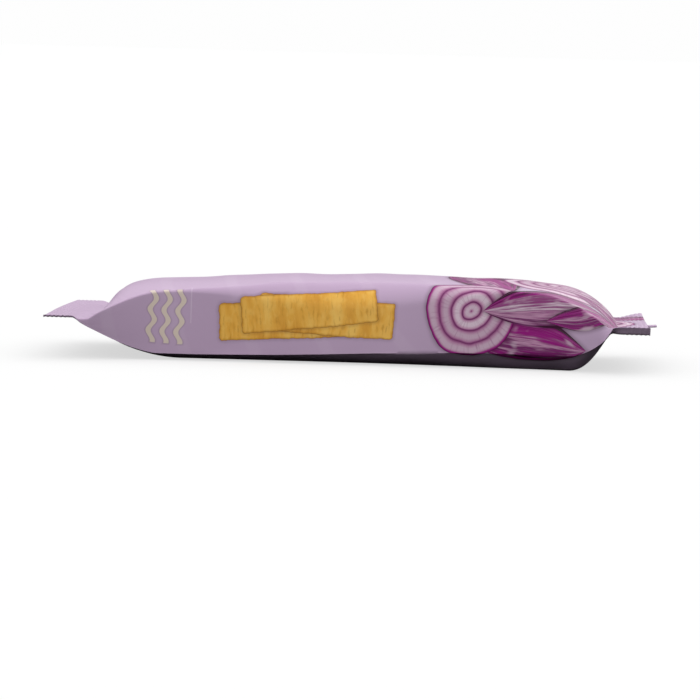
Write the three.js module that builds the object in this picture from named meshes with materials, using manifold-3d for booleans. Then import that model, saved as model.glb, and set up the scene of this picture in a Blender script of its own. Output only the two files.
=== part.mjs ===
// A sealed bag of crisps, lying on its back. A tube of printed film holds flat stacks of long
// crisps, so the filled part is a low box with soft edges. A flat seal closes each end, and
// between a seal and the filled part the tube opens out from a line to the full section.
// Millimetres, +X along the bag towards its bottom seal, +Z up, resting on z = 0.

import * as THREE from "three";
import { mergeVertices } from "three/addons/utils/BufferGeometryUtils.js";
import Module from "manifold-3d";

const { smoothstep, lerp, clamp } = THREE.MathUtils;

// The film tube, laid flat
const FLAT_WIDTH = 112;
const SEAL_THICKNESS = 0.9;

// Along the bag: where each seal ends and where its pressed ribs stop
const TOP_SEAL_END = -139;
const TOP_RIBS_STOP = -127;
const BOTTOM_RIBS_STOP = 127;
const BOTTOM_SEAL_END = 139.6;
const SEAM_TAIL_END = 144;

// Heights above the surface that the bag lies on
const TOP_SEAL_HEIGHT = 19.4;
const BOTTOM_SEAL_HEIGHT = 19.6;
const CREST_HEIGHT = 38.4;
const CREST_AT = 15;
const CREST_FALL = 0.00036;
const EDGE_BELOW_CREST = 1.3;
const FOLD_HEIGHT = 5;
const FOLD_SLOPE = 0.03;

// The section of the filled part. Its front edge is a sharp crease near a seal and softens
// over the distances from the ribs that CREASE gives.
const NARROWING = 0.452;
const EDGE_RADIUS = 6;
const CREASE_RADIUS = 2.5;
const CREASE = [27, 62];
const EDGE_RADIUS_SHARE = 0.26;
const CROWN_POWER = 2.5;
const SIDE_LEAN = 1.6;
const SIDE_FLARE = 1;
const FULL_SIDE = 30;
const UNDERSIDE_WIDTH = { top: 22, bottom: 15 };
const UNDERSIDE_CHANGE = [0, 90];
const UNDERSIDE_SAG = 0.35;

// How each line leaves a seal: where it starts, over what length it reaches its full height
// and how steeply it sets off
const OPENING = {
  crest: { top: [-115.5, 30, 5.5], bottom: [127.5, 34, 3] },
  edge: { top: [-119, 32, 1.9], bottom: [123, 40, 2.2] },
  fold: { top: [-126, 40, 1.35], bottom: [123, 20, 1.9] },
  base: { top: [-123, 50, 2], bottom: [121.5, 17.5, 2.2] },
};

// The seals: pressed ribs across the film, the near edge that curls down at the top seal and up
// at the bottom seal, and the bottom seal's droop to both sides and lifted far corner
const RIBS = 6;
const RIB_DEPTH = 0.4;
const CURL_WIDTH = 5;
const TOP_CURL = -0.8;
const BOTTOM_CURL = 2.6;
const BOTTOM_CURL_FROM = 113;
const BOTTOM_DROOP = 1;
const FAR_LIFT = 2.4;
const FAR_LIFT_FROM = 20;

// The long seam down the middle of the back, folded flat
const SEAM_WIDTH = 12;
const SEAM_THICKNESS = 0.5;
const SEAM_BITE = 0.3;
const SEAM_RELIEF = 15;
const TAIL_WIDTH = 7;

// Steps of the surface grid, round half the section and along the bag
const COLUMNS = { crown: 6, edge: 4, side: 3, underside: 4, base: 6 };
const TAPER_ROWS = 20;
const MIDDLE_ROWS = 12;
const TAPER_LENGTH = 45;
const CROWDING = 1.3;

// 0 where a line starts, 1 after its length, steeper at its start for a higher power
function opened(x, line) {
  const share = (start, length, power) =>
    1 - (1 - clamp(Math.abs(x - start) / length, 0, 1)) ** power;
  const { top, bottom } = OPENING[line];
  if (x <= top[0] || x >= bottom[0]) return 0;
  return share(...top) * share(...bottom);
}

const sealHeight = (x) =>
  lerp(TOP_SEAL_HEIGHT, BOTTOM_SEAL_HEIGHT, smoothstep(x, TOP_RIBS_STOP, BOTTOM_RIBS_STOP));

// The lines that run along the bag: the crest, the edge of the front, the fold and the back
function heights(x) {
  const seal = sealHeight(x);
  const half = SEAL_THICKNESS / 2;
  const fullCrest = CREST_HEIGHT - CREST_FALL * (x - CREST_AT) ** 2;
  const fullEdge = fullCrest - EDGE_BELOW_CREST;
  const fullFold = FOLD_HEIGHT + FOLD_SLOPE * x;
  return {
    crest: Math.max(lerp(seal, fullCrest, opened(x, "crest")), seal + half),
    edge: Math.max(lerp(seal, fullEdge, opened(x, "edge")), seal + half),
    fold: Math.min(lerp(seal, fullFold, opened(x, "fold")), seal - half / 5),
    base: Math.min(lerp(seal, 0, opened(x, "base")), seal - half),
  };
}

// Half of the section at x, as [y, z], from the middle of the front round to the middle of the
// back. The film doesn't stretch, so the section narrows as much as its sides grow tall.
function halfSection(x) {
  const { crest, edge, fold, base } = heights(x);
  const tall = edge - fold;
  const opening = clamp((tall - SEAL_THICKNESS) / FULL_SIDE, 0, 1);
  const halfWidth = FLAT_WIDTH / 2 - NARROWING * Math.max(tall - SEAL_THICKNESS, 0);
  const fromRibs = Math.min(x - TOP_RIBS_STOP, BOTTOM_RIBS_STOP - x);
  const radius = lerp(CREASE_RADIUS, EDGE_RADIUS, smoothstep(fromRibs, ...CREASE));
  const drop = Math.min(radius, EDGE_RADIUS_SHARE * tall);
  const underside = lerp(
    UNDERSIDE_WIDTH.top,
    UNDERSIDE_WIDTH.bottom,
    smoothstep(x, ...UNDERSIDE_CHANGE),
  );
  const crown = (y) => (crest - edge) * (1 - (y / halfWidth) ** CROWN_POWER);
  // The side leans in towards the front and flares out towards the fold
  const sideAt = (z) => {
    const t = (edge - drop - z) / (edge - drop - fold);
    return opening * (SIDE_FLARE * Math.max(t, 0) ** 2 - SIDE_LEAN * (1 - t) ** 2);
  };
  const points = [];

  for (let i = 0; i < COLUMNS.edge; i++) {
    const turn = (i / COLUMNS.edge) * (Math.PI / 2);
    const y = halfWidth - radius * (1 - Math.sin(turn));
    const z = edge - drop * (1 - Math.cos(turn)) + crown(y) * Math.cos(turn);
    points.push([y + sideAt(z), z]);
  }
  const frontWidth = points[0][0];
  const front = Array.from({ length: COLUMNS.crown }, (_, i) => {
    const across = i / COLUMNS.crown;
    return [frontWidth * across, edge + crown((halfWidth - radius) * across)];
  });
  points.unshift(...front);
  for (let i = 0; i < COLUMNS.side; i++) {
    const z = lerp(edge - drop, fold, i / COLUMNS.side);
    points.push([halfWidth + sideAt(z), z]);
  }
  const foldWidth = halfWidth + SIDE_FLARE * opening;
  for (let i = 0; i < COLUMNS.underside; i++) {
    const t = i / COLUMNS.underside;
    const inwards = underside * (2 * t * (1 - t) * UNDERSIDE_SAG + t * t);
    points.push([foldWidth - inwards, base + (fold - base) * (1 - t) ** 2]);
  }
  for (let i = 0; i <= COLUMNS.base; i++) {
    const y = (foldWidth - underside) * (1 - i / COLUMNS.base);
    const overSeam = 1 - smoothstep(y, SEAM_WIDTH / 2, SEAM_RELIEF);
    points.push([y, base + SEAM_THICKNESS * overSeam * opened(x, "base")]);
  }
  return points;
}

// How far the film at a seal leaves its plane. Y runs from the near side, -Y, to the far side.
function sealShape(x, y) {
  const half = FLAT_WIDTH / 2;
  const near = clamp((-y - half + CURL_WIDTH) / CURL_WIDTH, 0, 1);
  const far = clamp((y - FAR_LIFT_FROM) / (half - FAR_LIFT_FROM), 0, 1);
  const inTop = 1 - smoothstep(x, TOP_RIBS_STOP, OPENING.edge.top[0]);
  const inBottom = smoothstep(x, BOTTOM_CURL_FROM, BOTTOM_RIBS_STOP);
  const atEnd = smoothstep(x, BOTTOM_RIBS_STOP, BOTTOM_SEAL_END);
  const curl = (TOP_CURL * inTop + BOTTOM_CURL * inBottom) * near;
  return curl + FAR_LIFT * atEnd * far ** 1.5 - BOTTOM_DROOP * inBottom * (y / half) ** 2;
}

// Stations along a seal, two to a rib, each with its step up or down
function ribStations(end, stop) {
  return Array.from({ length: 2 * RIBS + 1 }, (_, i) => ({
    x: lerp(end, stop, i / (2 * RIBS)),
    step: i === 2 * RIBS ? 0 : (i % 2 ? 0.5 : -0.5) * RIB_DEPTH,
  }));
}

function stations() {
  const plain = (from, to, rows) =>
    Array.from({ length: rows }, (_, i) => ({ x: lerp(from, to, i / rows), step: 0 }));
  // Rows crowd towards the seal, where the film turns fastest
  const taper = (from, to) =>
    Array.from({ length: TAPER_ROWS - 1 }, (_, i) => ({
      x: lerp(from, to, ((i + 1) / TAPER_ROWS) ** CROWDING),
      step: 0,
    }));
  const topTaperEnd = TOP_RIBS_STOP + TAPER_LENGTH;
  const bottomTaperEnd = BOTTOM_RIBS_STOP - TAPER_LENGTH;
  return [
    ...ribStations(TOP_SEAL_END, TOP_RIBS_STOP),
    ...taper(TOP_RIBS_STOP, topTaperEnd),
    ...plain(topTaperEnd, bottomTaperEnd, MIDDLE_ROWS),
    { x: bottomTaperEnd, step: 0 },
    ...taper(BOTTOM_RIBS_STOP, bottomTaperEnd).reverse(),
    ...ribStations(BOTTOM_SEAL_END, BOTTOM_RIBS_STOP).reverse(),
  ];
}

// The whole film as one closed skin: rings of points along the bag, with a strip over each end
function filmSkin() {
  const rings = stations().map(({ x, step }) => {
    const near = halfSection(x).map(([y, z]) => [-y, z]);
    const far = near.slice(1, -1).reverse().map(([y, z]) => [-y, z]);
    return [...near, ...far].map(([y, z]) => [x, y, z + step + sealShape(x, y)]);
  });
  const around = rings[0].length;
  const index = [];
  for (let row = 0; row < rings.length - 1; row++) {
    for (let i = 0; i < around; i++) {
      const next = (i + 1) % around;
      const a = row * around + i;
      const b = row * around + next;
      index.push(a, b, a + around, b, b + around, a + around);
    }
  }
  // A strip closes each end. It joins each column of the front to one below it on the back, from
  // the middle out to the sides. Half the ring has an odd number of steps, so no point is left.
  const last = (rings.length - 1) * around;
  const half = around / 2;
  for (let i = 0; i < (half - 1) / 2; i++) {
    const near = [half - i, half - i - 1, i + 1, i];
    const far = near.map((k) => (around - k) % around).reverse();
    for (const [a, b, c, d] of [near, far]) {
      index.push(a, b, c, a, c, d);
      index.push(last + c, last + b, last + a, last + d, last + c, last + a);
    }
  }
  const skin = new THREE.BufferGeometry();
  skin.setAttribute("position", new THREE.Float32BufferAttribute(rings.flat(2), 3));
  skin.setIndex(index);
  return skin;
}

// The seam as a thin strip under the back, with the tail that stands out of the bottom seal
function backSeam() {
  const seamStations = [
    ...stations().map(({ x }) => ({ x, half: SEAM_WIDTH / 2 })),
    { x: BOTTOM_SEAL_END + SEAM_BITE, half: TAIL_WIDTH / 2 },
    { x: SEAM_TAIL_END, half: TAIL_WIDTH / 2 },
  ];
  const points = seamStations.flatMap(({ x, half }) => {
    const section = halfSection(clamp(x, TOP_SEAL_END, BOTTOM_SEAL_END));
    const film = section[section.length - 1][1];
    const low = film - SEAM_THICKNESS;
    const high = film + SEAM_BITE;
    return [
      [x, -half, low],
      [x, half, low],
      [x, half, high],
      [x, -half, high],
    ].flat();
  });
  const index = [0, 3, 2, 0, 2, 1];
  for (let row = 0; row < seamStations.length - 1; row++) {
    for (let i = 0; i < 4; i++) {
      const a = 4 * row + i;
      const b = 4 * row + ((i + 1) % 4);
      index.push(a, b, a + 4, b, b + 4, a + 4);
    }
  }
  const last = points.length / 3 - 4;
  index.push(last, last + 1, last + 2, last, last + 2, last + 3);
  const strip = new THREE.BufferGeometry();
  strip.setAttribute("position", new THREE.Float32BufferAttribute(points, 3));
  strip.setIndex(index);
  return strip;
}

const wasm = await Module();
wasm.setup();

function solidOf(geometry) {
  const merged = mergeVertices(geometry);
  return new wasm.Manifold(
    new wasm.Mesh({
      numProp: 3,
      vertProperties: merged.attributes.position.array,
      triVerts: new Uint32Array(merged.index.array),
    }),
  );
}

function geometryOf(solid) {
  const { vertProperties, triVerts } = solid.getMesh();
  const geometry = new THREE.BufferGeometry();
  geometry.setAttribute("position", new THREE.BufferAttribute(vertProperties, 3));
  geometry.setIndex(new THREE.BufferAttribute(triVerts, 1));
  geometry.computeVertexNormals();
  return geometry;
}

const printedFilm = new THREE.MeshStandardMaterial({
  color: 0xc9aed0,
  roughness: 0.42,
  metalness: 0,
});

const bag = new THREE.Mesh(geometryOf(solidOf(filmSkin()).add(solidOf(backSeam()))), printedFilm);
bag.name = "bag";

// The origin is under the middle of the whole length
bag.position.x = -(TOP_SEAL_END + SEAM_TAIL_END) / 2;

const crispsBag = new THREE.Group();
crispsBag.add(bag);

export default crispsBag;
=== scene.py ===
# %% [markdown]
# # A bag of long crisps
# The real thing is a tube of printed polypropylene film. A machine closes it with one long
# seam down its back and one flat ribbed seal at each end, and the flat crisps inside stretch
# it into a low box. It lies on its back, so its printed front faces up.
#
# One sheet of film is one mesh here. Every point of it is worked out from two numbers, how
# far along the bag it is and how far round the tube, so the same two numbers can place the
# print on it later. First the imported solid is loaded, as the frame that the film has to fit.

# %% Load the frame
import math

import bpy
import numpy as np
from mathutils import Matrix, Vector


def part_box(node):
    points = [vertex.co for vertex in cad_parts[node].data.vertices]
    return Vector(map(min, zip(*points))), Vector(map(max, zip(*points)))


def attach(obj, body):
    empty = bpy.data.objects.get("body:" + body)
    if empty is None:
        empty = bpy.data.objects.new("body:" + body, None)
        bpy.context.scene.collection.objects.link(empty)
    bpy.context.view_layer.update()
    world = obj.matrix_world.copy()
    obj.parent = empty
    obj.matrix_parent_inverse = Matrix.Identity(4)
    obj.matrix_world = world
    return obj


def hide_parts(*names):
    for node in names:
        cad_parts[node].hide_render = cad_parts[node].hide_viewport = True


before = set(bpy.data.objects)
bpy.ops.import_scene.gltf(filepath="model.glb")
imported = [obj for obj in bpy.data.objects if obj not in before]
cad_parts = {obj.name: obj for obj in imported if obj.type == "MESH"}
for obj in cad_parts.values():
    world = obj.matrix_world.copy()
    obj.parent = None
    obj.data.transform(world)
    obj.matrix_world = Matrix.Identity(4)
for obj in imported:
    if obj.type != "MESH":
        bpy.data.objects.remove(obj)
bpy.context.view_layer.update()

low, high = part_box("bag")
MM = 0.001
print("solid, mm:", [round((b - a) / MM, 1) for a, b in zip(low, high)])

# %% [markdown]
# ## The bag's sizes
# All lengths are in millimetres until the mesh is made. The solid gives the length, the flat
# width and the height, over which the film of the front domes by a millimetre. The rest is
# what such a bag measures: seals of about 13 mm, pressed into ribs 2 mm apart, and a seam
# 12 mm wide, whose tail stands out of the bottom seal.

# %% Sizes
FLAT_WIDTH = (high.y - low.y) / MM
FRONT_DOME = 1.05
CREST_HEIGHT = high.z / MM + FRONT_DOME
TAIL_LENGTH = 4.4
TOP_END = low.x / MM
BOTTOM_END = high.x / MM - TAIL_LENGTH

TOP_RIBS_STOP = TOP_END + 12.0
BOTTOM_RIBS_STOP = BOTTOM_END - 12.6
TOP_SEAL_HEIGHT = 19.4
BOTTOM_SEAL_HEIGHT = 19.6
SEAL_THICKNESS = 0.8

sizes = [round(size, 1) for size in (FLAT_WIDTH, BOTTOM_END - TOP_END)]
print("film, mm flat and from seal end to seal end:", sizes)

# %% [markdown]
# ## Four lines along the bag
# Four lines hold the form: the crest in the middle of the front, the front's edge, the fold
# under the side, and the flat back. At a seal they all lie together. Each leaves it at its
# own place and climbs or drops to its full height along a curve that sets off steeply and
# then levels out, as film does when it is pulled over the corner of what is inside.

# %% Heights of the four lines
# The crest is highest at this x, and falls by this much times the distance squared
CREST_AT, CREST_FALL = 20.0, 0.0004
EDGE_BELOW_CREST = 2.6
EDGE_SLOPE = 0.006
EDGE_DIP = 1.0
# Where the dip starts, is deepest and ends, in mm from the top seal's end
DIP_PLACES = (13.0, 17.5, 26.0)
# Heights of the fold: at the top end, and how much it rises between these two places
FOLD_LOW, FOLD_RISE = 3.2, 4.4
FOLD_RISES = (-75.0, 75.0)
# The fold stays at least this far below the middle of a seal
FOLD_BELOW_SEAL = 0.08

# For each line and each seal: how far in from the seal's end it sets off, how long it
# takes to reach its full height, and how steeply it starts
OPENING = {
    "crest": ((24.4, 26, 5.5), (14.0, 37, 3.2)),
    "edge": ((20.0, 32, 1.9), (16.6, 40, 2.2)),
    "fold": ((13.6, 38, 1.5), (17.0, 20, 1.9)),
    "base": ((15.0, 47, 2.0), (18.1, 19.2, 2.2)),
}


def ramp(a, b, x):
    """0 up to a, 1 from b on, and an S-curve, 3t^2 - 2t^3, between them."""
    t = np.clip((x - a) / (b - a), 0, 1)
    return t * t * (3 - 2 * t)


def climb(distance, length, power):
    """1 - (1 - distance / length) ^ power, held between 0 and 1: a steep start, a level end."""
    return 1 - (1 - np.clip(distance / length, 0, 1)) ** power


def opened(x, line):
    """How far a line has left both seals at x: the climb from one times that from the other."""
    (top_in, *top), (bottom_in, *bottom) = OPENING[line]
    return climb(x - TOP_END - top_in, *top) * climb(BOTTOM_END - bottom_in - x, *bottom)


def seal_height(x):
    """The seals' own height, mixed from one to the other along the bag."""
    rise = BOTTOM_SEAL_HEIGHT - TOP_SEAL_HEIGHT
    return TOP_SEAL_HEIGHT + rise * ramp(TOP_RIBS_STOP, BOTTOM_RIBS_STOP, x)


def heights(x):
    """Heights of the crest, edge, fold and base at x: the seal's height mixed with the full one.

    Just inside the top seal the edge first dips by a millimetre, where the corner is pulled down.
    """
    seal = seal_height(x)
    inwards = x - TOP_END
    start, deepest, end = DIP_PLACES
    dip = EDGE_DIP * ramp(start, deepest, inwards) * (1 - ramp(deepest, end, inwards))
    crest = CREST_HEIGHT - CREST_FALL * (x - CREST_AT) ** 2
    edge = crest - EDGE_BELOW_CREST + EDGE_SLOPE * x
    fold = FOLD_LOW + FOLD_RISE * ramp(*FOLD_RISES, x)
    full = {"crest": crest, "edge": edge, "fold": fold, "base": 0}
    line = {name: seal + (full[name] - seal) * opened(x, name) for name in full}
    half = SEAL_THICKNESS / 2
    return (
        np.maximum(line["crest"], seal + half),
        np.maximum(line["edge"], seal + half) - dip,
        np.minimum(line["fold"], seal - FOLD_BELOW_SEAL),
        np.minimum(line["base"], seal - half),
    )


for place in (TOP_END, TOP_END + 40, 0, BOTTOM_END - 20, BOTTOM_END):
    four = [round(float(line), 1) for line in heights(np.float64(place))]
    print(f"x {place:7.1f} mm: crest, edge, fold, base", four)

# %% [markdown]
# ## The section
# Half a section runs from the middle of the front, over the edge, down the side and along the
# underside to the middle of the back. The film doesn't stretch, so where the sides stand tall
# the section is narrow, and at a seal it is as wide as the flat tube. The front's edge is a
# sharp crease where it leaves a seal's corner, and softens to a round edge along the bag. The
# side leans in towards the front and flares out to the fold.

# %% Half a section for every row
# How much half the width loses for each mm of the side's height
NARROWING = 0.452
# The front's edge: its radius along the bag and beside the ribs, the distances from the
# ribs over which one turns into the other, and the largest share of the side it takes up
EDGE_RADIUS, CREASE_RADIUS = 11.0, 0.7
CREASE = (40.0, 125.0)
EDGE_SHARE = 0.4
CROWN_POWER = 2.5
SIDE_LEAN = 1.6
SIDE_FLARE = 1.0
# A side of this height has all of its lean and flare
FULL_SIDE = 30.0
# The underside's width and its power, at the top end and at the bottom end
UNDERSIDE_TOP, UNDERSIDE_BOTTOM = (19.0, 2.5), (10.5, 1.25)
UNDERSIDE_CHANGES = (0.0, 90.0)

SEAM_WIDTH = 12.0
SEAM_THICKNESS = 0.5
SEAM_RELIEF = 15.0

COLUMNS = {"crown": 30, "edge": 12, "side": 16, "underside": 14, "base": 12}
CROWDING = 1.5


def half_section(x):
    """Y and Z of half the outline, one row for each x.

    The front is flat plus a crown, (crest - edge)(1 - (y / half width)^2.5). The edge is a
    quarter of an ellipse. On the side, with t from 0 at its top to 1 at the fold, y gains
    flare t^2 and loses lean (1 - t)^2. The underside falls from the fold in to the base as
    (1 - t)^power, rounded at the top end and nearly straight at the bottom end. The base is
    flat but for the seam's seat. Columns crowd towards the edge and the fold, by t^1.5, so
    that the seals can curl there.
    """
    x = x[:, None]
    crest, edge, fold, base = heights(x)
    tall = edge - fold
    opening = np.clip((tall - SEAL_THICKNESS) / FULL_SIDE, 0, 1)
    half_width = FLAT_WIDTH / 2 - NARROWING * np.maximum(tall - SEAL_THICKNESS, 0)
    from_ribs = np.minimum(x - TOP_RIBS_STOP, BOTTOM_RIBS_STOP - x)
    radius = CREASE_RADIUS + (EDGE_RADIUS - CREASE_RADIUS) * ramp(*CREASE, from_ribs)
    drop = np.minimum(radius, EDGE_SHARE * tall)
    step = {name: np.arange(count) / count for name, count in COLUMNS.items()}
    step["crown"] = 1 - (1 - step["crown"]) ** CROWDING
    step["underside"] = step["underside"] ** CROWDING

    def crown(y):
        return (crest - edge) * (1 - (np.abs(y) / half_width) ** CROWN_POWER)

    def side_at(z):
        t = (edge - drop - z) / (edge - drop - fold)
        return opening * (SIDE_FLARE * np.maximum(t, 0) ** 2 - SIDE_LEAN * (1 - t) ** 2)

    turn = step["edge"] * math.pi / 2
    y_edge = half_width - radius * (1 - np.sin(turn))
    z_edge = edge - drop * (1 - np.cos(turn)) + crown(y_edge) * np.cos(turn)
    y_edge = y_edge + side_at(z_edge)

    y_front = y_edge[:, :1] * step["crown"]
    z_front = edge + crown((half_width - radius) * step["crown"])

    z_side = (edge - drop) + (fold - edge + drop) * step["side"]
    y_side = half_width + side_at(z_side)

    t = step["underside"]
    fold_width = half_width + SIDE_FLARE * opening
    mix = ramp(*UNDERSIDE_CHANGES, x)
    underside, power = (a + (b - a) * mix for a, b in zip(UNDERSIDE_TOP, UNDERSIDE_BOTTOM))
    y_under = fold_width - underside * t
    z_under = base + (fold - base) * (1 - t) ** power

    y_base = (fold_width - underside) * (1 - np.append(step["base"], 1.0))
    seat = 1 - ramp(SEAM_WIDTH / 2, SEAM_RELIEF, y_base)
    z_base = base + SEAM_THICKNESS * seat * opened(x, "base")

    y = np.concatenate([y_front, y_edge, y_side, y_under, y_base], axis=1)
    z = np.concatenate([z_front, z_edge, z_side, z_under, z_base], axis=1)
    return y, z


# %% [markdown]
# ## Rows
# The rows are close where the form is fine: eight to a rib of the seals, half a millimetre
# apart where the tube opens, and just over a millimetre apart along the plain middle.

# %% Rows along the bag
RIBS = 6
ROWS_TO_A_RIB = 8
TAPER_LENGTH = 45.0
TAPER_ROWS, MIDDLE_ROWS = 91, 140


def row_places():
    """X of every row, from the top seal's end to the bottom seal's end."""
    top_ribs = np.linspace(TOP_END, TOP_RIBS_STOP, ROWS_TO_A_RIB * RIBS + 1)
    bottom_ribs = np.linspace(BOTTOM_RIBS_STOP, BOTTOM_END, ROWS_TO_A_RIB * RIBS + 1)
    top_taper = TOP_RIBS_STOP + np.linspace(0, TAPER_LENGTH, TAPER_ROWS)
    bottom_taper = BOTTOM_RIBS_STOP - np.linspace(TAPER_LENGTH, 0, TAPER_ROWS)
    middle = np.linspace(top_taper[-1], bottom_taper[0], MIDDLE_ROWS)
    return np.concatenate([top_ribs, top_taper[1:], middle[1:-1], bottom_taper[:-1], bottom_ribs])


rows = row_places()
half_y, half_z = half_section(rows)
print("grid", half_y.shape, "body width", round(2 * half_y.max(axis=1)[len(rows) // 2], 1), "mm")

# %% [markdown]
# ## Film coordinates
# The print was laid on the film while it was flat, so it has to be placed by distances on the
# film, not in space. Along the bag that is X. Round it, it is the length of the section from
# the middle of the front, which comes to half of the tube at the seam whatever the form.

# %% From half a section to the whole tube


def whole_tube(x):
    """Points (row, column, xyz) and film coordinates (row, column, uv) in millimetres.

    Columns run from the back's middle, up the near side, over the front and down the far
    side to the back's middle again. v is the running length of the section, scaled so that
    it ends at half of the tube: -112 mm at the start, 0 on the crest, 112 mm at the end.
    """
    y, z = half_section(x)
    lengths = np.hypot(np.diff(y, axis=1), np.diff(z, axis=1))
    v = np.concatenate([np.zeros((len(x), 1)), np.cumsum(lengths, axis=1)], axis=1)
    v *= FLAT_WIDTH / v[:, -1:]
    along = np.repeat(x[:, None], 2 * y.shape[1] - 1, axis=1)
    points = np.stack(
        [
            along,
            np.concatenate([-y[:, ::-1], y[:, 1:]], axis=1),
            np.concatenate([z[:, ::-1], z[:, 1:]], axis=1),
        ],
        axis=2,
    )
    film = np.stack([along, np.concatenate([-v[:, ::-1], v[:, 1:]], axis=1)], axis=2)
    return points, film


tube, film_uv = whole_tube(rows)
film_ends = film_uv[..., 1].min().round(1), film_uv[..., 1].max().round(1)
print("tube", tube.shape, "film v from", film_ends[0], "to", film_ends[1], "mm")

# %% [markdown]
# ## Pleats and slack
# Where flat film opens into a box it has width to spare, and the spare width gathers in
# shallow pleats that fan out from the seal and die away. The filled part is taut, but the
# crisps push it into very shallow waves. Both move the film along its own normal, by tenths
# of a millimetre, which is enough for the light to show it.

# %% Relief along the normal
# Each pleat wave: its height and its wavelength round the film, in mm, and its phase
PLEATS = ((0.26, 31.0, 0.4), (0.2, 19.0, 2.1), (0.12, 11.5, 4.0))
# Each slack wave: its height, its wavelengths along and round, in mm, and its phase
SLACK = ((0.24, 57.0, 400.0, 0.9), (0.13, 33.0, -260.0, 2.6), (0.05, 18.0, 150.0, 5.1))
# In mm from the ribs: where a pleat has grown, where it starts to fade, and the length
# over which it then falls to about a third
PLEATS_GROWN, PLEATS_FADE_FROM, PLEATS_FADE = 6.0, 4.0, 13.0
# How far a pleat's phase turns over each mm along, which fans the pleats out
PLEAT_FAN = 0.02
# Slack grows over these distances from each end, and all relief over these heights
SLACK_GROWS = (15.0, 45.0)
RELIEF_GROWS = (0.5, 5.0)


def film_shift(u, v, z):
    """How far the film stands out along its normal: pleats near the seals, slack in between.

    A pleat wave is a cosine of v. Its weight climbs over 6 mm from the ribs, and from 4 mm
    on it falls off as exp(-(distance - 4 mm) / 13 mm). Slack is a cosine of u and v
    together. The flat back, which carries the weight, has none of either, and the welded
    seam is too stiff for them.
    """
    off_floor = ramp(*RELIEF_GROWS, z)
    off_seam = ramp(SEAM_WIDTH / 2, SEAM_RELIEF, FLAT_WIDTH - np.abs(v))
    shift = np.zeros_like(u)
    for distance, sign in ((u - TOP_RIBS_STOP, 1), (BOTTOM_RIBS_STOP - u, -1)):
        fade = np.exp(-np.maximum(distance - PLEATS_FADE_FROM, 0) / PLEATS_FADE)
        weight = ramp(0, PLEATS_GROWN, distance) * fade
        for height, wave, phase in PLEATS:
            angle = 2 * math.pi * v / wave + phase * sign + PLEAT_FAN * distance
            shift += weight * height * np.cos(angle)
    taut = ramp(*SLACK_GROWS, u - TOP_END) * ramp(*SLACK_GROWS, BOTTOM_END - u)
    for height, along, around, phase in SLACK:
        shift += taut * height * np.cos(2 * math.pi * (u / along + v / around) + phase)
    return shift * off_floor * off_seam


def outward(points):
    """Unit normals of the tube: the slope round it crossed with the slope along it."""
    closed = np.concatenate([points[:, -2:-1], points, points[:, 1:2]], axis=1)
    around = closed[:, 2:] - closed[:, :-2]
    along = np.gradient(points, axis=0)
    normal = np.cross(around, along)
    return normal / np.maximum(np.linalg.norm(normal, axis=2, keepdims=True), 1e-9)


shift = film_shift(film_uv[..., 0], film_uv[..., 1], tube[..., 2])
tube += outward(tube) * shift[..., None]
print("film moves out by", shift.min().round(2), "to", shift.max().round(2), "mm")

# %% [markdown]
# ## Ribs and curls
# The sealing jaws press both layers into ribs, so a rib moves front and back alike. A seal is
# stiff, and it springs a little as it cools: the near edges of both curl up, so that their dark
# backs show, the bottom one droops towards its sides and lifts its far corner, and the far
# corners are drawn in. Each curl is a short bend of constant radius, straight beyond it, so
# the film keeps its width.

# %% Seals
RIB_DEPTH = 0.2
# Each curl's width, how much of that is the bend, and its angle
TOP_CURL = (1.3, 1.3, math.radians(95))
TOP_CURL_FADES = 6.0
BOTTOM_CURL = (4.9, 1.2, math.radians(56))
BOTTOM_CURL_FROM = BOTTOM_END - 24.5
# The bottom seal's droop at its sides, the lift of its far corner and where that starts,
# and how far the far corners are drawn in, from which y on and how far along
BOTTOM_DROOP = 1.0
FAR_LIFT = 2.4
FAR_LIFT_FROM = 20.0
TOP_DRAWN, BOTTOM_DRAWN = 2.7, 1.2
DRAWN_FROM, DRAWN_LENGTH = -10.0, 45.0


def rib_shift(x):
    """A cosine across each seal, half of RIB_DEPTH up and down, that fades over its last rib."""
    shift = np.zeros_like(x)
    for distance, ribbed in (
        (x - TOP_END, TOP_RIBS_STOP - TOP_END),
        (BOTTOM_END - x, BOTTOM_END - BOTTOM_RIBS_STOP),
    ):
        pitch = ribbed / RIBS
        fade = 1 - ramp(ribbed - pitch, ribbed, distance)
        shift -= RIB_DEPTH / 2 * np.cos(2 * math.pi * distance / pitch) * fade
    return shift


def bottom_shift(x, y):
    """The bottom seal's lift, far^1.5, less its droop, (y / half width)^2."""
    half = FLAT_WIDTH / 2
    far = np.clip((y - FAR_LIFT_FROM) / (half - FAR_LIFT_FROM), 0, 1)
    at_end = ramp(BOTTOM_RIBS_STOP, BOTTOM_END, x)
    in_bottom = ramp(BOTTOM_CURL_FROM, BOTTOM_RIBS_STOP, x)
    return FAR_LIFT * at_end * far**1.5 - BOTTOM_DROOP * in_bottom * (y / half) ** 2


def drawn_in(x, y):
    """How far along X the far corners are drawn in: far^1.5, fading over 45 mm from each end."""
    far = np.clip((y - DRAWN_FROM) / (FLAT_WIDTH / 2 - DRAWN_FROM), 0, 1) ** 1.5
    at_top = 1 - ramp(TOP_END, TOP_END + DRAWN_LENGTH, x)
    at_bottom = ramp(BOTTOM_END - DRAWN_LENGTH, BOTTOM_END, x)
    return far * (TOP_DRAWN * at_top - BOTTOM_DRAWN * at_bottom)


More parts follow.
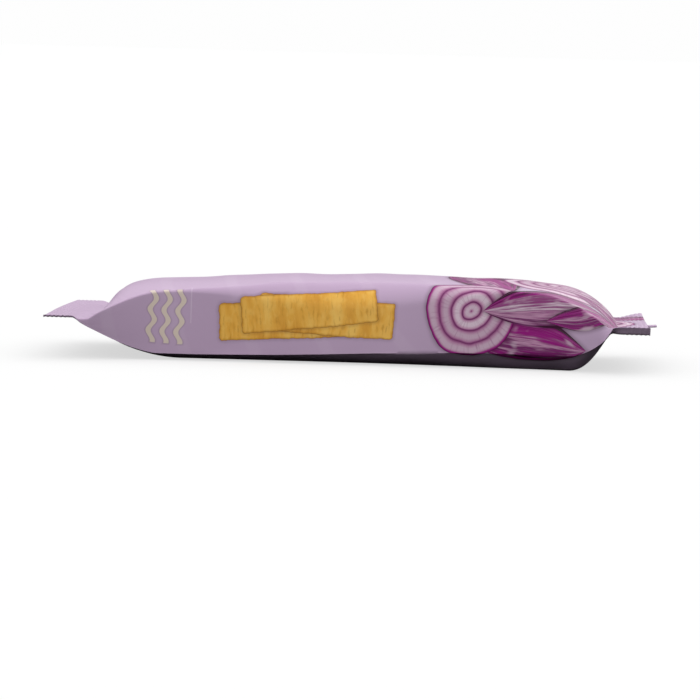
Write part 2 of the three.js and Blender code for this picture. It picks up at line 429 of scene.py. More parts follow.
def curled(points, width, bend, angle, weight):
    """Turns the strip of this width along the near edge up by the angle, over its first bend mm.

    A point s mm into the bend turns by phi = angle s / bend. It lands s sin(phi) / phi out
    and s (1 - cos(phi)) / phi up from the strip's start. Past the bend it goes straight on.
    Its own height over the middle of the film is measured along the turned normal.
    """
    x, y, z = np.moveaxis(points, 2, 0)
    s = np.clip(-y - FLAT_WIDTH / 2 + width, 0, width)
    bent = np.minimum(s, bend)
    phi = weight * angle * bent / bend
    over = z - seal_height(x)
    out = bent * np.sinc(phi / math.pi) + (s - bent) * np.cos(phi) - s - over * np.sin(phi)
    up = bent * (phi / 2) * np.sinc(phi / 2 / math.pi) ** 2 + (s - bent) * np.sin(phi)
    return np.stack([x, y - out, z + up + over * (np.cos(phi) - 1)], axis=2)


in_top = 1 - ramp(TOP_RIBS_STOP, TOP_RIBS_STOP + TOP_CURL_FADES, tube[..., 0])
in_bottom = ramp(BOTTOM_CURL_FROM, BOTTOM_RIBS_STOP, tube[..., 0])
lift = rib_shift(tube[..., 0]) + bottom_shift(tube[..., 0], tube[..., 1])
inwards = drawn_in(tube[..., 0], tube[..., 1])
tube = curled(tube, *TOP_CURL, in_top)
tube = curled(tube, *BOTTOM_CURL, in_bottom)
tube[..., 0] += inwards
tube[..., 2] = np.maximum(tube[..., 2] + lift, 0)
near_corner = tube[-1][tube[-1, :, 1].argmin()]
print("near corner of the bottom seal, mm:", near_corner.round(1))

# %% [markdown]
# ## The film as a mesh
# The grid closes round the tube by using its first column again as its last. At each end a
# strip joins the front to the back, column by column, which is the cut edge of the seal. The
# film coordinates go into a UV map, in metres, so every material can read them.

# %% Grid to mesh
SHARP_ANGLE = math.radians(50)


def add_piece(name, points, faces, corner_uv):
    """A new object at the origin from points in mm, with a UV map called film.

    It is shaded smooth, but for edges whose faces meet at more than the sharp angle.
    """
    mesh = bpy.data.meshes.new(name)
    mesh.from_pydata((points * MM).tolist(), [], faces.tolist())
    layer = mesh.uv_layers.new(name="film")
    layer.uv.foreach_set("vector", (corner_uv * MM).astype(np.float32).ravel())
    mesh.shade_smooth()
    mesh.set_sharp_from_angle(angle=SHARP_ANGLE)
    mesh.validate()
    piece = bpy.data.objects.new(name, mesh)
    bpy.context.scene.collection.objects.link(piece)
    return piece


def tube_faces(n_rows, n_columns):
    """Corners of every quad as (row, column) pairs, and of the strips that close both ends."""
    row, column = np.meshgrid(np.arange(n_rows - 1), np.arange(n_columns - 1), indexing="ij")
    row, column = row.ravel(), column.ravel()
    skin = np.stack(
        [
            np.stack([row, column], 1),
            np.stack([row, column + 1], 1),
            np.stack([row + 1, column + 1], 1),
            np.stack([row + 1, column], 1),
        ],
        axis=1,
    )
    middle = (n_columns - 1) // 2
    i = np.arange(middle // 2)
    strips = []
    for columns in (
        np.stack([i, middle - i, middle - i - 1, i + 1], 1),
        np.stack([n_columns - 1 - i, n_columns - 2 - i, middle + i + 1, middle + i], 1),
    ):
        start = np.stack([np.zeros_like(columns), columns], axis=2)
        end = np.stack([np.full_like(columns, n_rows - 1), columns], axis=2)[:, ::-1]
        strips += [start, end]
    return np.concatenate([skin, *strips])


corners = tube_faces(*tube.shape[:2])
ring = tube.shape[1] - 1
faces = corners[..., 0] * ring + corners[..., 1] % ring
bag = add_piece(
    "film_bag", tube[:, :-1].reshape(-1, 3), faces, film_uv[corners[..., 0], corners[..., 1]]
)
print("film_bag:", len(bag.data.polygons), "faces")

# %% [markdown]
# ## The seam
# The two long edges of the film are welded face to face and the flap is folded flat against
# the back. It is a strip of its own thickness, sunk a little into the film's seat, and the
# cutter leaves a short narrower tail of it past the bottom seal.

# %% Seam strip
SEAM_BITE = 0.3
SEAM_CORNER = 0.12
TAIL_WIDTH = 7.0
TAIL_RISE = 0.3
# The strip's body ends a hair before each seal's end, so that no two faces coincide
SEAM_RINGS, SEAM_SHORT = 380, 0.02
# The tail's rings, in mm past the seal: the first still has the body's width
TAIL_RINGS = (SEAM_SHORT, 0.35, 2.4, TAIL_LENGTH)
BAR_POINTS = 8


def seam_strip():
    """Rings of eight points along the back's middle: a flat bar with small cut corners."""
    body = np.linspace(TOP_END + SEAM_SHORT, BOTTOM_END - SEAM_SHORT, SEAM_RINGS)
    x = np.concatenate([body, BOTTOM_END + np.array(TAIL_RINGS)])
    half = np.where(np.arange(len(x)) < SEAM_RINGS + 1, SEAM_WIDTH, TAIL_WIDTH) / 2
    inside = np.clip(x, TOP_END, BOTTOM_END)
    on_film = half_section(inside)[1][:, -1] + rib_shift(inside)
    on_film += TAIL_RISE * np.clip(x - BOTTOM_END, 0, TAIL_LENGTH) / TAIL_LENGTH
    bottom, top = on_film - SEAM_THICKNESS, on_film + SEAM_BITE
    cut = SEAM_CORNER
    y = np.stack([-half, -half + cut, half - cut, half, half, half - cut, -half + cut, -half], 1)
    z = np.stack([bottom + cut, bottom, bottom, bottom + cut, top - cut, top, top, top - cut], 1)
    return np.stack([np.repeat(x[:, None], BAR_POINTS, axis=1), y, np.maximum(z, 0)], axis=2)


strip = seam_strip()
first = BAR_POINTS * np.arange(len(strip))[:, None]
point = np.arange(BAR_POINTS)[None]
start = first[:-1] + point
after = first[:-1] + (point + 1) % BAR_POINTS
sides = np.stack([start, after, after + BAR_POINTS, start + BAR_POINTS], axis=2).reshape(-1, 4)
lids = np.array([[0, 7, 6, 1], [1, 6, 5, 2], [2, 5, 4, 3]])
end_lids = lids[:, ::-1] + first[-1]
seam_faces = np.concatenate([sides, lids, end_lids])
seam_points = strip.reshape(-1, 3)
seam = add_piece("back_seam", seam_points, seam_faces, seam_points[seam_faces][..., :2])
print("back_seam:", len(seam.data.polygons), "faces")

# %% [markdown]
# ## Inks and one helper
# Printing inks are written as sRGB hex and turned to the linear values that Blender mixes.
# One function adds a node, sets it up and links it, and hands back the output that the next
# node takes.

# %% Inks and node helper


def linear(code):
    """A hex colour as linear RGBA: c / 12.92 below 0.04045, else ((c + 0.055) / 1.055)^2.4."""
    srgb = [int(code[i : i + 2], 16) / 255 for i in (1, 3, 5)]
    return (*[c / 12.92 if c <= 0.04045 else ((c + 0.055) / 1.055) ** 2.4 for c in srgb], 1.0)


INK = {
    "lilac": linear("#C4AAC7"),
    "pale lilac": linear("#D6C3D8"),
    "cream": linear("#DFCFC2"),
    "pale gold": linear("#F9C967"),
    "gold": linear("#F0B44C"),
    "deep gold": linear("#DE9C3A"),
    "toasted": linear("#B0701F"),
    "burnt": linear("#623812"),
    "flesh": linear("#E2CBDB"),
    "pink": linear("#CB98BA"),
    "mauve": linear("#9A5488"),
    "purple": linear("#742A66"),
    "magenta": linear("#9A1C80"),
    "plum": linear("#3C0F30"),
}


def add(tree, kind, inputs=(), out=0, stops=(), **settings):
    """Adds one node and returns one of its outputs.

    inputs holds a value or another node's output for each socket, in order or by name, and
    stops holds (place, ink) for a colour ramp.
    """
    node = tree.nodes.new(kind)
    for name, value in settings.items():
        setattr(node, name, value)
    for socket, value in inputs.items() if isinstance(inputs, dict) else enumerate(inputs):
        if isinstance(value, bpy.types.NodeSocket):
            tree.links.new(value, node.inputs[socket])
        else:
            node.inputs[socket].default_value = value
    while stops and len(node.color_ramp.elements) < len(stops):
        node.color_ramp.elements.new(0.5)
    for i, (place, ink) in enumerate(stops):
        node.color_ramp.elements[i].position = place
        node.color_ramp.elements[i].color = INK[ink]
    return node.outputs[out]


print(len(INK), "inks")

# %% [markdown]
# ## Drawing with distances
# Each printed shape starts from a distance: how far a spot on the film is from the shape's
# outline, in millimetres, negative inside. A distance gives a sharp edge at any size, a soft
# shadow or a darker rim, and needs no picture. These are the few that the print is made of.

# %% Outlines
PRINT_BLUR = 0.12


def own_axes(tree, film, at, turn=0.0, fray=0.0, grain=1.0):
    """The film as seen from a motif's own centre and axes.

    For a frayed outline each spot is moved by up to half of fray mm, by noise whose lumps
    are grain mm wide.
    """
    place = {"Vector": film, "Location": (*at, 0), "Rotation": (0, 0, math.radians(turn))}
    spot = add(tree, "ShaderNodeMapping", place, vector_type="TEXTURE")
    if not fray:
        return spot
    lumps = {"Vector": spot, "Scale": 1 / grain, "Detail": 3.0}
    noise = add(tree, "ShaderNodeTexNoise", lumps, out="Color")
    centred = add(tree, "ShaderNodeVectorMath", [noise, (0.5, 0.5, 0.5)], operation="SUBTRACT")
    moved = add(tree, "ShaderNodeVectorMath", {0: centred, "Scale": fray}, operation="SCALE")
    return add(tree, "ShaderNodeVectorMath", [spot, moved], operation="ADD")


def bar(tree, spot, length, width, corner):
    """Distance to a bar with round corners.

    q is |spot| less the half sizes plus the corner's radius. The distance is the length of
    q where q is positive, plus its larger side where both are negative, less the radius.
    """
    size = (length / 2 - corner, width / 2 - corner, 0)
    folded = add(tree, "ShaderNodeVectorMath", [spot], operation="ABSOLUTE")
    q = add(tree, "ShaderNodeVectorMath", [folded, size], operation="SUBTRACT")
    beyond = add(tree, "ShaderNodeVectorMath", [q, (0, 0, 0)], operation="MAXIMUM")
    outside = add(tree, "ShaderNodeVectorMath", [beyond], out="Value", operation="LENGTH")
    x = add(tree, "ShaderNodeSeparateXYZ", [q], out="X")
    y = add(tree, "ShaderNodeSeparateXYZ", [q], out="Y")
    larger = add(tree, "ShaderNodeMath", [x, y], operation="MAXIMUM")
    inside = add(tree, "ShaderNodeMath", [larger, 0.0], operation="MINIMUM")
    both = add(tree, "ShaderNodeMath", [outside, inside], operation="ADD")
    return add(tree, "ShaderNodeMath", [both, corner], operation="SUBTRACT")


def circle(tree, spot, radius):
    """Distance to a circle: the length of the spot less the radius."""
    length = add(tree, "ShaderNodeVectorMath", [spot], out="Value", operation="LENGTH")
    return add(tree, "ShaderNodeMath", [length, radius], operation="SUBTRACT")


def stamp(tree, below, ink, field, start=PRINT_BLUR, full=-PRINT_BLUR, share=1.0):
    """Lays ink over what is below: none where field is at start, share of it from full on."""
    span = {"Value": field, "From Min": start, "From Max": full, "To Max": share}
    cover = add(tree, "ShaderNodeMapRange", span, interpolation_type="SMOOTHSTEP")
    return add(tree, "ShaderNodeMix", {"Factor": cover, 6: below, 7: ink}, out=2, data_type="RGBA")


print("an edge of the print is", 2 * PRINT_BLUR, "mm soft")

# %% [markdown]
# ## The printed crisps
# Long crisps are rolled sheets of potato dough, baked to an even gold. They have soft broad
# bands where the sheet thickens, fine short wrinkles across them, pale blisters and toasted
# rims. Three whole ones lie across each other in a loose fan, each with a shadow below it.

# %% Crisps
CRISP_LENGTH, CRISP_WIDTH, CRISP_CORNER = 63.0, 17.0, 1.6
# The fray of a crisp's rim and the size of its lumps, then the sizes of its relief
CRISP_FRAY, CRISP_GRAIN = 1.5, 3.2
BAND, WRINKLE, BLISTER = 8.0, 1.3, 4.5
# Bands and wrinkles run across a crisp, so their noise is drawn out along its width
ACROSS = (1.0, 0.22, 1.0)


def crisp(tree, below, film, at, turn):
    """One crisp laid over the print below it: shadow, sheet, wrinkles, blisters and rim."""
    spot = own_axes(tree, film, at, turn, CRISP_FRAY, CRISP_GRAIN)
    edge = bar(tree, spot, CRISP_LENGTH, CRISP_WIDTH, CRISP_CORNER)
    shaded = stamp(tree, below, INK["plum"], edge, start=2.0, full=-1.0, share=0.35)

    upright = add(tree, "ShaderNodeVectorMath", [spot, ACROSS], operation="MULTIPLY")
    bands = add(tree, "ShaderNodeTexNoise", {"Vector": upright, "Scale": 1 / BAND, "Detail": 4.0})
    tones = [(0.32, "deep gold"), (0.50, "gold"), (0.68, "pale gold")]
    sheet = add(tree, "ShaderNodeValToRGB", [bands], stops=tones)
    blisters = add(tree, "ShaderNodeTexVoronoi", {"Vector": spot, "Scale": 1 / BLISTER})
    sheet = stamp(tree, sheet, INK["pale gold"], blisters, start=0.5, full=0.1, share=0.4)
    fine = {"Vector": upright, "Scale": 1 / WRINKLE, "Detail": 3.0}
    wrinkles = add(tree, "ShaderNodeTexNoise", fine)
    sheet = stamp(tree, sheet, INK["pale gold"], wrinkles, start=0.45, full=0.25, share=0.6)
    sheet = stamp(tree, sheet, INK["toasted"], wrinkles, start=0.5, full=0.85, share=0.6)
    sheet = stamp(tree, sheet, INK["toasted"], edge, start=-1.4, full=0.1, share=0.6)
    sheet = stamp(tree, sheet, INK["burnt"], edge, start=-0.4, full=0.0, share=0.6)
    return stamp(tree, shaded, sheet, edge)


print("a crisp is", CRISP_LENGTH, "by", CRISP_WIDTH, "mm, its wrinkles", WRINKLE, "mm apart")

# %% [markdown]
# ## The printed onion rings
# The flavour shows as sliced red onion. A ring slice is a set of circles: pale flesh with a
# thin purple skin between one layer and the next, and fine veins that run out from the core.
# A place's distance from the centre tells its layer and its place in that layer, so one
# colour ramp paints them all. The edge is frayed by noise, as a cut ring is never round.

# %% Ring slices
LAYER = [
    (0.00, "plum"), (0.08, "mauve"), (0.20, "pink"), (0.40, "flesh"),
    (0.64, "flesh"), (0.85, "pink"), (0.94, "mauve"), (1.00, "purple"),
]  # fmt: skip
# The fray and the size of its lumps, as shares of the slice's radius
SLICE_FRAY, SLICE_GRAIN = 0.38, 1.5
# Below 1, layers are thinner at the core and thicker outside
LAYER_POWER = 0.85
# Veins are noise over the angle in radians and the share of the radius, times these
VEIN_FINENESS = (16.0, 2.0, 1.0)


def ring_slice(tree, below, film, at, radius, layers):
    """A slice of this many layers.

    A spot's layer is layers (r / radius)^0.85, and its fraction goes from one skin to the
    next. The veins are noise that is stretched along the radius, read by the angle.
    """
    spot = own_axes(tree, film, at, fray=radius * SLICE_FRAY, grain=radius * SLICE_GRAIN)
    edge = circle(tree, spot, radius)
    shaded = stamp(tree, below, INK["plum"], edge, start=2.4, full=-1.0, share=0.5)

    reach = add(tree, "ShaderNodeMapRange", {"Value": edge, "From Min": -radius, "From Max": 0.0})
    spread = add(tree, "ShaderNodeMath", [reach, LAYER_POWER], operation="POWER")
    layer = add(tree, "ShaderNodeMath", [spread, layers], operation="MULTIPLY")
    between = add(tree, "ShaderNodeMath", [layer], operation="FRACT")
    flesh = add(tree, "ShaderNodeValToRGB", [between], stops=LAYER)

    which = add(tree, "ShaderNodeMath", [layer], operation="FLOOR")
    tint = add(tree, "ShaderNodeTexWhiteNoise", {"W": which}, noise_dimensions="1D")
    flesh = stamp(tree, flesh, INK["mauve"], tint, start=0.2, full=1.0, share=0.35)

    x = add(tree, "ShaderNodeSeparateXYZ", [spot], out="X")
    y = add(tree, "ShaderNodeSeparateXYZ", [spot], out="Y")
    angle = add(tree, "ShaderNodeMath", [y, x], operation="ARCTAN2")
    polar = add(tree, "ShaderNodeCombineXYZ", [angle, reach, 0.0])
    stretched = add(tree, "ShaderNodeVectorMath", [polar, VEIN_FINENESS], operation="MULTIPLY")
    veins = add(tree, "ShaderNodeTexNoise", {"Vector": stretched, "Scale": 1.0, "Detail": 3.0})
    flesh = stamp(tree, flesh, INK["mauve"], veins, start=0.5, full=0.75, share=0.45)
    flesh = stamp(tree, flesh, INK["magenta"], edge, start=-1.7, full=-0.6)
    flesh = stamp(tree, flesh, INK["plum"], edge, start=-0.6, full=-0.1, share=0.8)
    return stamp(tree, shaded, flesh, edge)


print("a layer of onion runs through", len(LAYER), "tones")

# %% [markdown]
# ## The printed onion wedges
# A wedge of onion is pointed at both ends, and its layers run from tip to tip. Straight
# stripes would be cut off by its rims. It is drawn as the overlap of two circles, because
# the ratio of the distances to them gives curves that bend with both rims and meet in the
# tips, just as the layers do. Noise that is drawn out along those curves adds the veins.

# %% Wedges
# Stripes across a wedge, from its lower rim to its upper one
DARK_WEDGE = [
    (0.02, "plum"), (0.10, "magenta"), (0.30, "purple"), (0.44, "pink"),
    (0.50, "mauve"), (0.60, "magenta"), (0.80, "magenta"), (0.97, "plum"),
]  # fmt: skip
PALE_WEDGE = [
    (0.02, "plum"), (0.10, "purple"), (0.26, "pink"), (0.36, "mauve"),
    (0.46, "flesh"), (0.60, "mauve"), (0.80, "magenta"), (0.97, "plum"),
]  # fmt: skip
# Factors for noise over the mm along and the place across, from -1 to 1: streaks about
# 26 mm long that push the stripes aside, fine veins of 34 mm, and patches of 12 mm
STREAKS, VEINS, PATCHES = (1 / 26, 6.0, 1.0), (1 / 34, 26.0, 1.0), (1 / 12, 1.5, 1.0)
WANDER = 0.2
# Keeps the division away from zero at the rims and tips
LEAST_DEPTH = -0.05


def wedge(tree, below, film, at, length, width, turn, stripes):
    """The overlap of two circles, striped from tip to tip.

    For half length a and half width b the circles have radius (a^2 + b^2) / 2b and stand
    that less b to either side. With distances p and q to them, the outline is the larger
    of the two, and (q - p) / (p + q) runs from one rim to the other.
    """
    spot = own_axes(tree, film, at, turn)
    radius = (length**2 + width**2) / (4 * width)
    aside = radius - width / 2
    p = circle(tree, own_axes(tree, spot, (0, -aside)), radius)
    q = circle(tree, own_axes(tree, spot, (0, aside)), radius)
    edge = add(tree, "ShaderNodeMath", [p, q], operation="MAXIMUM")
    shaded = stamp(tree, below, INK["plum"], edge, start=2.4, full=-1.0, share=0.5)

    total = add(tree, "ShaderNodeMath", [p, q], operation="ADD")
    depth = add(tree, "ShaderNodeMath", [total, LEAST_DEPTH], operation="MINIMUM")
    apart = add(tree, "ShaderNodeMath", [q, p], operation="SUBTRACT")
    across = add(tree, "ShaderNodeMath", [apart, depth], operation="DIVIDE")
    place = add(tree, "ShaderNodeMapRange", {"Value": across, "From Min": -1.0, "From Max": 1.0})
    along = add(tree, "ShaderNodeSeparateXYZ", [spot], out="X")
    grain = add(tree, "ShaderNodeCombineXYZ", [along, across, turn])
    broad = add(tree, "ShaderNodeVectorMath", [grain, STREAKS], operation="MULTIPLY")
    streaks = add(tree, "ShaderNodeTexNoise", {"Vector": broad, "Scale": 1.0, "Detail": 4.0})
    span = {"From Min": 0.3, "From Max": 0.7, "To Min": -WANDER, "To Max": WANDER}
    wander = add(tree, "ShaderNodeMapRange", {"Value": streaks, **span})
    striped = add(tree, "ShaderNodeMath", [place, wander], operation="ADD")
    colour = add(tree, "ShaderNodeValToRGB", [striped], stops=stripes)
    fine = add(tree, "ShaderNodeVectorMath", [grain, VEINS], operation="MULTIPLY")
    veins = add(tree, "ShaderNodeTexNoise", {"Vector": fine, "Scale": 1.0, "Detail": 3.0})
    colour = stamp(tree, colour, INK["flesh"], veins, start=0.47, full=0.25, share=0.35)
    colour = stamp(tree, colour, INK["plum"], veins, start=0.52, full=0.8, share=0.55)
    patchy = add(tree, "ShaderNodeVectorMath", [grain, PATCHES], operation="MULTIPLY")
    patches = add(tree, "ShaderNodeTexNoise", {"Vector": patchy, "Scale": 1.0, "Detail": 2.0})
    colour = stamp(tree, colour, INK["flesh"], patches, start=0.42, full=0.25, share=0.6)
    return stamp(tree, shaded, colour, edge)


print("wedges have", len(DARK_WEDGE), "and", len(PALE_WEDGE), "tones across")

# %% [markdown]
# ## Plain marks
# Three cream ripples stand at the top end. Their course swings as a sine, and one line repeats
# by wrapping the place across it. Beside them a thin pale line is a painted highlight, where
# the film has a small crease. The back has a bare cream panel on each side of the seam, in a
# thin purple frame.

# %% Ripples and panels
RIPPLES_AT, RIPPLES_TURN = (-86.0, -51.5), -4.0
RIPPLE_COUNT, RIPPLE_CORNER = 3, 3.0
RIPPLE_PITCH, RIPPLE_WIDTH, RIPPLE_LENGTH = 6.4, 2.4, 25.0
RIPPLE_WAVE, RIPPLE_SWING = 9.5, 1.2
# Length, width and corner of the painted crease highlight, a thin pale line, and of a panel
CREASE_HIGHLIGHT_AT, CREASE_HIGHLIGHT = (-74.5, -46.0), (0.5, 18.0, 0.2)
PANEL_AT, PANEL = (-8.0, -95.0), (150.0, 18.0, 3.0)


def ripples(tree, below, film):
    """Lines inside a bar, each where |wrapped place| is under half a line's width."""
    spot = own_axes(tree, film, RIPPLES_AT, RIPPLES_TURN)
    x = add(tree, "ShaderNodeSeparateXYZ", [spot], out="X")
    y = add(tree, "ShaderNodeSeparateXYZ", [spot], out="Y")
    turns = add(tree, "ShaderNodeMath", [y, 2 * math.pi / RIPPLE_WAVE], operation="MULTIPLY")
    sine = add(tree, "ShaderNodeMath", [turns], operation="SINE")
    swung = add(tree, "ShaderNodeMath", [sine, RIPPLE_SWING, x], operation="MULTIPLY_ADD")
    half = RIPPLE_PITCH / 2
    wrapped = add(tree, "ShaderNodeMath", [swung, half, -half], operation="WRAP")
    from_line = add(tree, "ShaderNodeMath", [wrapped], operation="ABSOLUTE")
    line = add(tree, "ShaderNodeMath", [from_line, RIPPLE_WIDTH / 2], operation="SUBTRACT")
    around = own_axes(tree, add(tree, "ShaderNodeCombineXYZ", [swung, y, 0.0]), (0, 0))
    block = bar(tree, around, RIPPLE_COUNT * RIPPLE_PITCH, RIPPLE_LENGTH, RIPPLE_CORNER)
    edge = add(tree, "ShaderNodeMath", [line, block], operation="MAXIMUM")
    shaded = stamp(tree, below, INK["plum"], edge, start=1.1, full=-0.3, share=0.3)
    return stamp(tree, shaded, INK["cream"], edge)


def painted_crease_highlight(tree, below, film):
    """A thin pale line beside the ripples, a painted highlight of a small crease in the film."""
    edge = bar(tree, own_axes(tree, film, CREASE_HIGHLIGHT_AT), *CREASE_HIGHLIGHT)
    return stamp(tree, below, INK["pale lilac"], edge, share=0.7)


def back_panel(tree, below, film):
    """A bare cream panel in a thin frame."""
    edge = bar(tree, own_axes(tree, film, PANEL_AT), *PANEL)
    framed = stamp(tree, below, INK["purple"], edge)
    return stamp(tree, framed, INK["cream"], edge, start=-0.35, full=-0.6)


print(RIPPLE_COUNT, "ripples,", RIPPLE_PITCH, "mm apart, and panels of", PANEL[:2], "mm")

# %% [markdown]
# ## The whole print
# The ground is one flat lilac, with a few very faint pale rings on the front. Both long sides
# carry the same print, so a place there is read as the distance from the crest, whichever
# way it runs, and only the front keeps both directions. The ripples stand at the top end, the
# crisps lie in the middle, and the onion fills the bottom end, over the edges and the front.

# %% Print
# Each crisp's centre on the film and its turn, the lowest first
CRISPS = (((-30.0, -52.5), 3.0), ((-12.0, -50.5), -4.0), ((-20.0, -47.5), 6.0))
# Each piece of onion, the lowest first: on the front alone or on both sides alike, its
# kind, its centre, and its radius and layers or its length, width, turn and stripes
ONION = (
    ("front", wedge, (60.0, -8.0), (78.0, 30.0, -72.0, DARK_WEDGE)),
    ("front", wedge, (70.0, 26.0), (60.0, 22.0, 38.0, PALE_WEDGE)),
    ("front", ring_slice, (100.0, -3.0), (31.0, 5.0)),
    ("sides", wedge, (126.0, -30.0), (56.0, 15.0, -24.0, DARK_WEDGE)),
    ("sides", wedge, (79.0, -60.0), (58.0, 22.0, -5.0, DARK_WEDGE)),
    ("sides", ring_slice, (55.0, -48.0), (21.0, 4.0)),
    ("sides", wedge, (92.0, -44.0), (64.0, 21.0, 8.0, PALE_WEDGE)),
    ("sides", wedge, (112.0, -47.0), (46.0, 12.0, 12.0, DARK_WEDGE)),
)
# The centre of the front's faint rings, and the step from one to the next
FRONT_RINGS_AT, FRONT_RING = (98.0, 0.0), 30.0
# The unprinted margin of the seam's flap
FLAP_MARGIN = 2.0


def in_millimetres(tree):
    """The UV map called film, turned from metres to millimetres."""
    uv = add(tree, "ShaderNodeUVMap", uv_map="film")
    return add(tree, "ShaderNodeVectorMath", {0: uv, "Scale": 1 / MM}, operation="SCALE")


def print_colour(tree):
    """The film's print as one colour, layer over layer.

    flat holds (u, v), and film holds (u, -|v|), which is alike on both sides.
    """
    flat = in_millimetres(tree)
    along = add(tree, "ShaderNodeSeparateXYZ", [flat], out="X")
    round_film = add(tree, "ShaderNodeSeparateXYZ", [flat], out="Y")
    from_crest = add(tree, "ShaderNodeMath", [round_film], operation="ABSOLUTE")
    down = add(tree, "ShaderNodeMath", [from_crest, -1.0], operation="MULTIPLY")
    film = add(tree, "ShaderNodeCombineXYZ", [along, down, 0.0])

    far_out = circle(tree, own_axes(tree, film, FRONT_RINGS_AT), 0.0)
    turns = add(tree, "ShaderNodeMath", [far_out, 2 * math.pi / FRONT_RING], operation="MULTIPLY")
    sine = add(tree, "ShaderNodeMath", [turns], operation="SINE")
    colour = stamp(tree, INK["lilac"], INK["pale lilac"], sine, start=0.75, full=0.95, share=0.14)

    colour = back_panel(tree, colour, film)
    colour = ripples(tree, colour, film)
    # A painted highlight of a small crease in the film, drawn as a thin pale line
    colour = painted_crease_highlight(tree, colour, film)
    for at, turn in CRISPS:
        colour = crisp(tree, colour, film, at, turn)
    places = {"front": flat, "sides": film}
    for part, draw, at, shape in ONION:
        colour = draw(tree, colour, places[part], at, *shape)
    return colour


def seam_colour(tree):
    """Plain lilac with a paler unprinted margin along the flap's free edge."""
    y = add(tree, "ShaderNodeSeparateXYZ", [in_millimetres(tree)], out="Y")
    margin = add(tree, "ShaderNodeMath", [y, SEAM_WIDTH / 2 - FLAP_MARGIN], operation="ADD")
    return stamp(tree, INK["lilac"], INK["flesh"], margin)


print(len(CRISPS), "crisps under", len(ONION), "pieces of onion")

# %% [markdown]
# ## The film's finish
# Packing film is biaxially oriented polypropylene, printed under a matt top web. Its IOR is
# near 1.49. The matt web scatters what it mirrors, so highlights are broad and weak. Thin
# film never lies quite flat either: it has a faint orange peel about 2 mm across, and fine
# crinkles that run out from each seal and are gone 25 mm further on.

# %% Materials
FILM_IOR = 1.49
FILM_SPECULAR = 0.12
FILM_ROUGHNESS = 0.38
PEEL_GRAIN, PEEL_DEPTH = 2.2, 0.03
CRINKLE_DEPTH, CRINKLE_REACH = 0.28, 25.0
CRINKLE_LENGTH, CRINKLE_WIDTH = 22.0, 2.5


def film_relief(tree, flat):
    """Height in mm: the peel, plus crinkles times a weight that falls from each seal's ribs.

    A crinkle is noise whose lumps are 22 mm long and 2.5 mm wide round the film.
    """
    place = add(tree, "ShaderNodeTexCoord", out="Object")
    peel = add(tree, "ShaderNodeTexNoise", {"Vector": place, "Scale": 1 / (PEEL_GRAIN * MM)})
    small = add(tree, "ShaderNodeMath", [peel, PEEL_DEPTH], operation="MULTIPLY")
    lumps = (1 / CRINKLE_LENGTH, 1 / CRINKLE_WIDTH, 1)
    stretched = add(tree, "ShaderNodeVectorMath", [flat, lumps], operation="MULTIPLY")
    crinkle = add(tree, "ShaderNodeTexNoise", {"Vector": stretched, "Scale": 1.0, "Detail": 3.0})
    x = add(tree, "ShaderNodeSeparateXYZ", [flat], out="X")
    middle = (TOP_RIBS_STOP + BOTTOM_RIBS_STOP) / 2
    centred = add(tree, "ShaderNodeMath", [x, middle], operation="SUBTRACT")
    off_middle = add(tree, "ShaderNodeMath", [centred], operation="ABSOLUTE")
    ribs_at = (BOTTOM_RIBS_STOP - TOP_RIBS_STOP) / 2
    span = {"Value": off_middle, "From Min": ribs_at - CRINKLE_REACH, "From Max": ribs_at}
    span["To Max"] = CRINKLE_DEPTH
    weight = add(tree, "ShaderNodeMapRange", span, interpolation_type="SMOOTHERSTEP")
    return add(tree, "ShaderNodeMath", [crinkle, weight, small], operation="MULTIPLY_ADD")


def matt_film(name, colour_of):
    """A matt film material whose base colour comes from colour_of(tree)."""
    material = bpy.data.materials.new(name)
    material.use_nodes = True
    tree = material.node_tree
    shader = tree.nodes["Principled BSDF"]
    shader.inputs["IOR"].default_value = FILM_IOR
    shader.inputs["Specular IOR Level"].default_value = FILM_SPECULAR
    shader.inputs["Roughness"].default_value = FILM_ROUGHNESS
    relief = film_relief(tree, in_millimetres(tree))
    heights_in_mm = {"Height": relief, "Strength": 1.0, "Distance": MM}
    bump = add(tree, "ShaderNodeBump", heights_in_mm, out="Normal")
    tree.links.new(colour_of(tree), shader.inputs["Base Color"])
    tree.links.new(bump, shader.inputs["Normal"])
    return material


bag.data.materials.append(matt_film("matt_polypropylene_film_printed", print_colour))
seam.data.materials.append(matt_film("matt_polypropylene_film_heat_sealed", seam_colour))
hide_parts("bag")
for piece in (bag, seam):
    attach(piece, "root")
print("nodes in the print:", len(bag.data.materials[0].node_tree.nodes))

# %% [markdown]
# ## Light table
# The floor is a sheet of opal acrylic, lit a little from below, so that the bag's shadow on
# it stays light. It gives no light back to the bag, whose underside is then as dark as on a
# table that is far away. It has no gloss, and it is large enough for any view.

# %% Floor
TABLE_REACH = 30.0
TABLE_WHITE = 0.32
TABLE_GLOW = 0.63

table_mesh = bpy.data.meshes.new("light_table")
square = [(-TABLE_REACH, -TABLE_REACH, 0), (TABLE_REACH, -TABLE_REACH, 0)]
square += [(TABLE_REACH, TABLE_REACH, 0), (-TABLE_REACH, TABLE_REACH, 0)]
table_mesh.from_pydata(square, [], [(0, 1, 2, 3)])
table = bpy.data.objects.new("light_table", table_mesh)
table.visible_diffuse = False
table.visible_glossy = False
bpy.context.scene.collection.objects.link(table)

opal = bpy.data.materials.new("opal_acrylic_table")
opal.use_nodes = True
opal_shader = opal.node_tree.nodes["Principled BSDF"]
opal_shader.inputs["Base Color"].default_value = (TABLE_WHITE, TABLE_WHITE, TABLE_WHITE, 1)
opal_shader.inputs["Specular IOR Level"].default_value = 0.0
opal_shader.inputs["Emission Color"].default_value = (1, 1, 1, 1)
opal_shader.inputs["Emission Strength"].default_value = TABLE_GLOW
table.data.materials.append(opal)
print("table", 2 * TABLE_REACH, "m square")

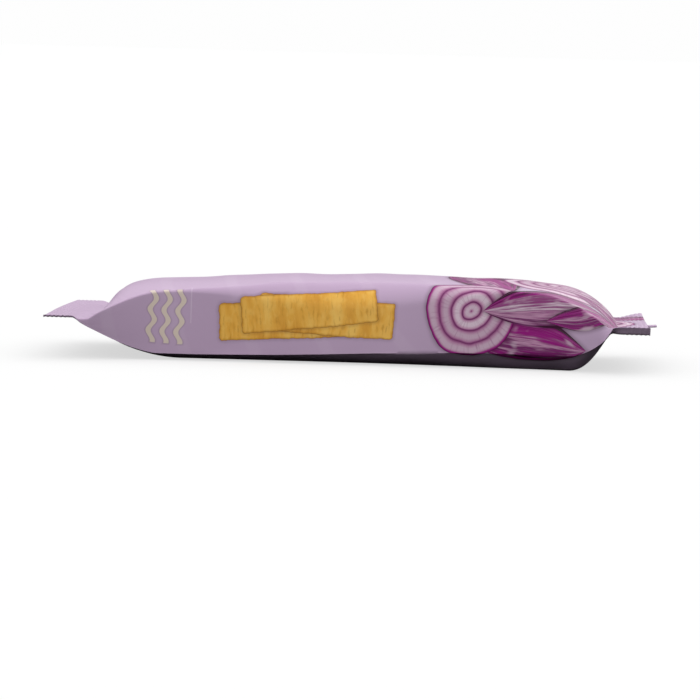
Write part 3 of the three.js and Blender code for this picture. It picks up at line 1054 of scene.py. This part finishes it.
# %% [markdown]
# ## Light
# An even white sky that fades out just above the horizon stands for a light tent: what faces
# up is bright, an upright side gets about half as much, and what faces down almost none. A
# broad lamp on each side lifts the sides a little. The camera sees the sky in the table's
# own white, so no horizon shows.

# %% Sky and lamps
SKY_LIGHT = 1.02
SKY_FROM, SKY_FADE = 0.1, 0.38
SKY_BELOW = 0.004
SEEN_WHITE = 0.99
LAMP_LIGHT = 0.72
LAMP_BREADTH = math.radians(50)
LAMP_HEIGHT = math.radians(28)
LAMP_TURN = math.radians(-32)

world = bpy.data.worlds.new("light_tent")
world.use_nodes = True
bpy.context.scene.world = world
sky = world.node_tree
direction = add(sky, "ShaderNodeTexCoord", out="Generated")
height = add(sky, "ShaderNodeSeparateXYZ", [direction], out="Z")
fade = {"From Min": SKY_FROM, "From Max": SKY_FADE, "To Min": SKY_BELOW, "To Max": SKY_LIGHT}
tent = add(sky, "ShaderNodeMapRange", {"Value": height, **fade})
seen = add(sky, "ShaderNodeLightPath", out="Is Camera Ray")
strength = add(sky, "ShaderNodeMix", {"Factor": seen, 2: tent, 3: SEEN_WHITE})
sky.nodes["Background"].inputs["Color"].default_value = (1, 1, 1, 1)
sky.links.new(strength, sky.nodes["Background"].inputs["Strength"])

for name, turn in (("near_lamp", LAMP_TURN), ("far_lamp", LAMP_TURN + math.pi)):
    lamp = bpy.data.lights.new(name, "SUN")
    lamp.angle = LAMP_BREADTH
    lamp.energy = LAMP_LIGHT
    lamp_object = bpy.data.objects.new(name, lamp)
    lamp_object.rotation_euler = (math.pi / 2 - LAMP_HEIGHT, 0, turn)
    bpy.context.scene.collection.objects.link(lamp_object)

bpy.context.scene.view_settings.view_transform = "Standard"
bpy.context.scene.view_settings.look = "None"
print("sky", SKY_LIGHT, "and two lamps of", LAMP_LIGHT)

# %% [markdown]
# ## Camera
# The bag is seen from its near long side, from just above the table and from far away, so a
# long lens keeps it flat. The camera stands a little towards the bottom end and is rolled
# slightly, as a hand-held one is.

# %% Camera
DISTANCE = 1.850
YAW, ELEVATION, ROLL = math.radians(2.6), math.radians(4.6), math.radians(1.5)
TARGET = (-0.0025, 0.0, 0.0037)
PICTURE = 700
PIXELS_PER_MM = 2.117
SENSOR = 36.0

camera = bpy.data.cameras.new("camera")
camera.sensor_width = SENSOR
camera.lens = PIXELS_PER_MM / MM * DISTANCE * SENSOR / PICTURE
camera_object = bpy.data.objects.new("camera", camera)
camera_object.location = (
    TARGET[0] + DISTANCE * math.sin(YAW) * math.cos(ELEVATION),
    TARGET[1] - DISTANCE * math.cos(YAW) * math.cos(ELEVATION),
    TARGET[2] + DISTANCE * math.sin(ELEVATION),
)
camera_object.rotation_euler = (math.pi / 2 - ELEVATION, 0, YAW)
camera_object.rotation_euler.rotate_axis("Z", ROLL)
bpy.context.scene.collection.objects.link(camera_object)
bpy.context.scene.camera = camera_object
print("lens", round(camera.lens, 1), "mm")
